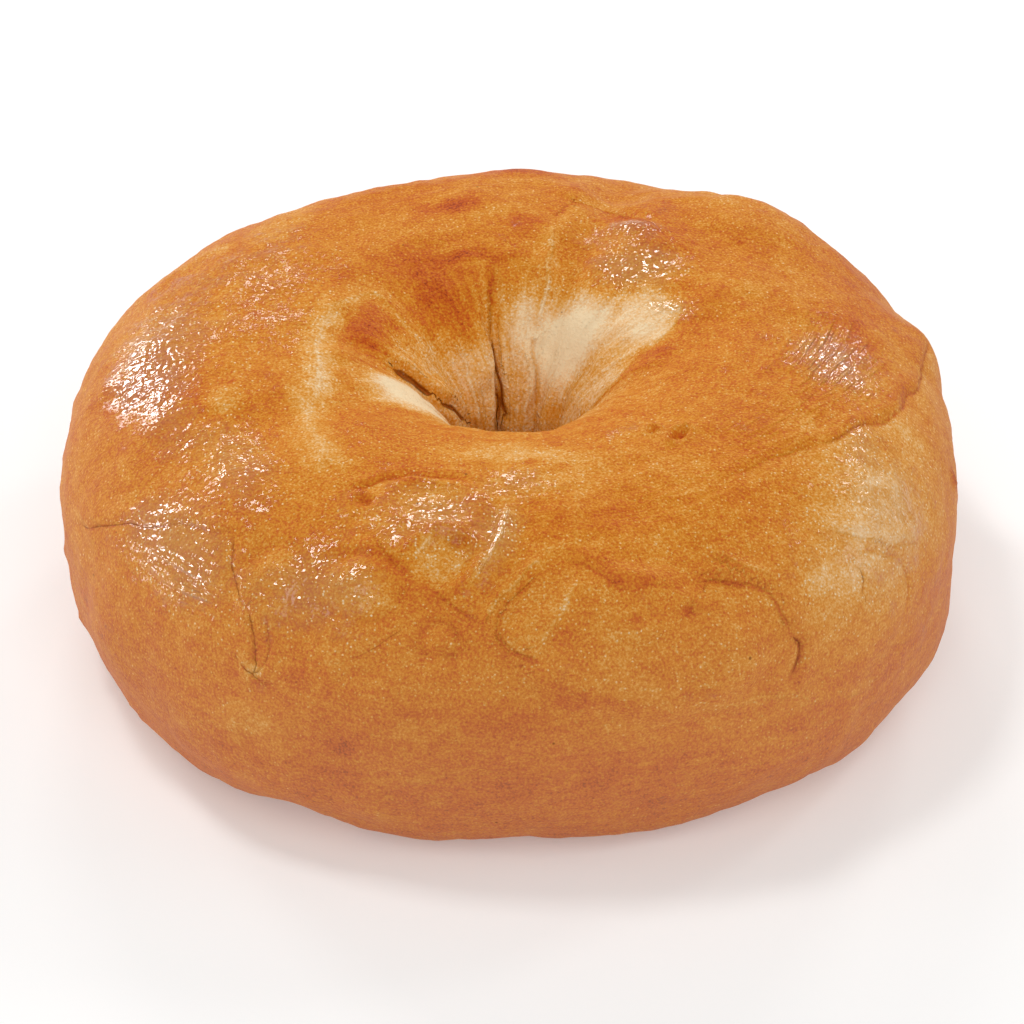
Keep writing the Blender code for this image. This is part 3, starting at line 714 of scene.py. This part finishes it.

# %% Darken it under glassy film, paint a sheen on the lower front, and add specks and painted shade in cracks
# film never dries evenly, so the edges of its thick patches are ragged
patchy = add(tree, MATH, (add(tree, MATH, (clouds, 0.5), operation="SUBTRACT"), 0.6, film), operation="MULTIPLY_ADD")
patchy = add(tree, MATH, (add(tree, MATH, (mottles, 0.5), operation="SUBTRACT"), 0.7, patchy), operation="MULTIPLY_ADD")
glassy = add(tree, RANGE, (patchy, 0.45, 0.90, 0.0, 0.32))
colour = add(tree, "ShaderNodeMix", {"Factor": glassy, "A": colour, "B": linear(DEEP)}, data_type="RGBA")
# painted sheen: the lower front is mixed towards pinkish white, most strongly low down
front_sheen = add(tree, RANGE, (across, math.radians(64), math.radians(-25), 0.0, 0.25), **EASED)
colour = add(tree, "ShaderNodeMix", {
    "Factor": front_sheen, "A": next(output for output in colour.outputs if output.enabled), "B": linear(LOW_FRONT_SHEEN)},
    data_type="RGBA")
speck_cells = add(tree, "ShaderNodeTexVoronoi", {"Vector": spot, "Scale": 1 / 5.5})
speck_size = add(tree, MATH, (add(tree, MATH, (clouds, 0.5), operation="SUBTRACT"), 0.10,
                              speck_cells.outputs["Distance"]), operation="MULTIPLY_ADD")
speck = add(tree, RANGE, (speck_size, 0.040, 0.015, 0.0, 0.7), **EASED)
colour = add(tree, "ShaderNodeMix", {"Factor": speck, "A": colour, "B": linear(SPECK)}, data_type="RGBA")
# the crack's line, painted dark as shade in its gap; its edges are ragged
ragged = add(tree, MATH, (add(tree, MATH, (mottles, 0.5), operation="SUBTRACT"), 0.35, off_line),
             operation="MULTIPLY_ADD")
inside = add(tree, MATH, (add(tree, MATH, (crack_gap, 0.5), operation="MULTIPLY"), ragged), operation="SUBTRACT")
line = add(tree, RANGE, (inside, -0.09, 0.11, 0.0, 0.70), **EASED)
line = add(tree, MATH, (line, add(tree, RANGE, (crack_gap, 0.03, 0.10))), operation="MULTIPLY")
colour = add(tree, "ShaderNodeMix", {"Factor": line, "A": colour, "B": linear(CRACK_SHADE)}, data_type="RGBA")
tree.links.new(next(output for output in colour.outputs if output.enabled), shader["Base Color"])

# %% Roughen it
# heights in mm: the film shrank into small pillows between creases, under a finer grain
pillows = add(tree, NOISE, {"Vector": spot, "Scale": 1 / 1.3, "Detail": 1.0})
creased = add(tree, MATH, (add(tree, MATH, (pillows, 0.5), operation="SUBTRACT"),), operation="ABSOLUTE")
pebbles = add(tree, NOISE, {"Vector": spot, "Scale": 1 / 0.8, "Detail": 1.0, "Roughness": 0.5})
height = add(tree, MATH, (creased, 0.36), operation="MULTIPLY")
height = add(tree, MATH, (pebbles, 0.12, height), operation="MULTIPLY_ADD")
coarse = add(tree, MATH, (height, gelled), operation="MULTIPLY")
# thick film fills the finest grain
unfilled = add(tree, RANGE, (film, 0.45, 1.0, 1.0, 0.2))
fine = add(tree, MATH, (grain, 0.11), operation="MULTIPLY")
fine = add(tree, MATH, (bubbles, 0.06, fine), operation="MULTIPLY_ADD")
height = add(tree, MATH, (streaks, -0.10, coarse), operation="MULTIPLY_ADD")
height = add(tree, MATH, (ridges, 0.28, height), operation="MULTIPLY_ADD")
height = add(tree, MATH, (fine_line, 0.45, height), operation="MULTIPLY_ADD")
height = add(tree, MATH, (line, -0.15, height), operation="MULTIPLY_ADD")
film_face = add(tree, "ShaderNodeBump", {"Strength": 1.0, "Distance": MM, "Height": height})
tree.links.new(film_face.outputs[0], shader["Coat Normal"])
height = add(tree, MATH, (fine, unfilled, height), operation="MULTIPLY_ADD")
crumb_face = add(tree, "ShaderNodeBump", {"Strength": 1.0, "Distance": MM, "Height": height})
tree.links.new(crumb_face.outputs[0], shader["Normal"])
coated = add(tree, RANGE, (patchy, 0.50, 0.95))
coated = add(tree, MATH, (coated, add(tree, MATH, (1.0, line), operation="SUBTRACT")), operation="MULTIPLY")
tree.links.new(coated.outputs[0], shader["Coat Weight"])
shader["Roughness"].default_value = 0.55
shader["Specular IOR Level"].default_value = 0.12
shader["Coat Roughness"].default_value = 0.06
shader["Coat IOR"].default_value = 1.8

# %% Grow the crust on the model
COLUMNS, ROWS = 500, 199  # just under 200,000 triangles


def set_inputs(modifier, **values):
    """Sets a Geometry Nodes modifier's inputs, which are reached by identifier and not by name."""
    for item in modifier.node_group.interface.items_tree:
        if item.item_type == "SOCKET" and item.in_out == "INPUT" and item.name in values:
            modifier[item.identifier] = values[item.name]


blank = bpy.data.objects.new("bagel_crust", bagel_cad.data.copy())
bpy.context.scene.collection.objects.link(blank)
modifier = blank.modifiers.new("crust", "NODES")
modifier.node_group = crust
set_inputs(modifier, **{
    "Ring middle": HOLE_AXIS + Vector((0, 0, RING_HEIGHT)), "Ring radius": RING_RADIUS, "Columns": COLUMNS + 1,
    "Rows": ROWS + 1, "Top packing": 0.42, "Side packing": -0.10, "Melting": 24, "Wander": 3.2 * MM, "Mark relief": 1.15,
    "Plumpness": 0.15 * MM, "Broad lumps": 1.2 * MM, "Dents": 0.55 * MM, "Streaks": 0.25 * MM,
    "Pebbling": 0.30 * MM, "Pleating": 0.9 * MM, "Crust": bread})
evaluated = blank.evaluated_get(bpy.context.evaluated_depsgraph_get())
bagel = bpy.data.objects.new("bagel_crust_skin", bpy.data.meshes.new_from_object(evaluated))
bpy.data.objects.remove(blank, do_unlink=True)
bpy.context.scene.collection.objects.link(bagel)
print("crust:", len(bagel.data.polygons), "faces,", sum(len(p.vertices) - 2 for p in bagel.data.polygons), "triangles")
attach(bagel, "root")
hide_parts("bagel")

# %% [markdown]
# ## Floor, light and camera
# Bread is photographed on white, under large soft lights set behind it, so that the film on its crust
# glints towards the camera. A white world stands for the soft fill of a white room.

# %% The floor
bpy.ops.mesh.primitive_circle_add(vertices=96, radius=4.0, fill_type="NGON", location=(0, 0, 0))
floor = bpy.context.active_object
floor.name = "pale_floor"
table, tree, shader = new_material("opal_light_table")  # lit from beneath, so shadows stay pale
shader["Base Color"].default_value = linear("#E6E6E5")
shader["Roughness"].default_value = 0.9
shader["Specular IOR Level"].default_value = 0.2
shader["Emission Color"].default_value = linear("#FFFFFF")
shader["Emission Strength"].default_value = 0.22
floor.data.materials.append(table)

# %% The lights
AIM = HOLE_AXIS + Vector((0, 0, RING_HEIGHT))


def softbox(name, towards, distance, width, height, radiance):
    """An area light that faces the bagel. Radiance is how bright its face looks."""
    light = bpy.data.lights.new(name, "AREA")
    light.shape = "RECTANGLE"
    light.size, light.size_y = width, height
    light.energy = radiance * math.pi * width * height
    holder = bpy.data.objects.new(name, light)
    holder.location = AIM + Vector(towards).normalized() * distance
    holder.rotation_euler = (AIM - holder.location).to_track_quat("-Z", "Y").to_euler()
    holder.visible_camera = False
    bpy.context.scene.collection.objects.link(holder)


softbox("back_left_softbox", (-0.60, 0.74, 0.30), 0.9, 0.15, 0.26, 13.5)
softbox("overhead_softbox", (-0.34, 0.12, 0.93), 0.9, 0.18, 0.16, 20.0)
softbox("back_softbox", (-0.09, 0.83, 0.54), 0.9, 0.18, 0.12, 13.5)
softbox("back_right_softbox", (0.36, 0.84, 0.38), 0.9, 0.15, 0.14, 16.0)
softbox("upper_right_softbox", (0.65, 0.44, 0.63), 0.9, 0.14, 0.13, 12.0)
softbox("left_softbox", (-0.98, 0.04, 0.12), 0.9, 0.17, 0.17, 14.0)
softbox("right_softbox", (0.90, -0.05, 0.30), 0.9, 0.36, 0.36, 2.2)
softbox("front_softbox", (0.08, -0.66, 0.75), 1.2, 0.90, 0.90, 1.62)

world = bpy.data.worlds.new("white_studio")
world.use_nodes = True
world.node_tree.nodes["Background"].inputs["Color"].default_value = (1.0, 1.0, 1.0, 1.0)
world.node_tree.nodes["Background"].inputs["Strength"].default_value = 0.38
bpy.context.scene.world = world
bpy.context.scene.view_settings.view_transform = "Standard"

# %% The camera
ELEVATION = 35
CAMERA_DISTANCE = 0.55
LENS, SENSOR = 158.6, 36.0

camera = bpy.data.objects.new("camera", bpy.data.cameras.new("camera"))
camera.data.lens = LENS
camera.data.sensor_width = SENSOR
lift = math.radians(ELEVATION)
camera.location = AIM + CAMERA_DISTANCE * Vector((0, -math.cos(lift), math.sin(lift)))
LOOK_AT = Vector((0.4, -2.6, 15.6)) * MM
camera.rotation_euler = (LOOK_AT - camera.location).to_track_quat("-Z", "Y").to_euler()
bpy.context.scene.collection.objects.link(camera)
bpy.context.scene.camera = camera
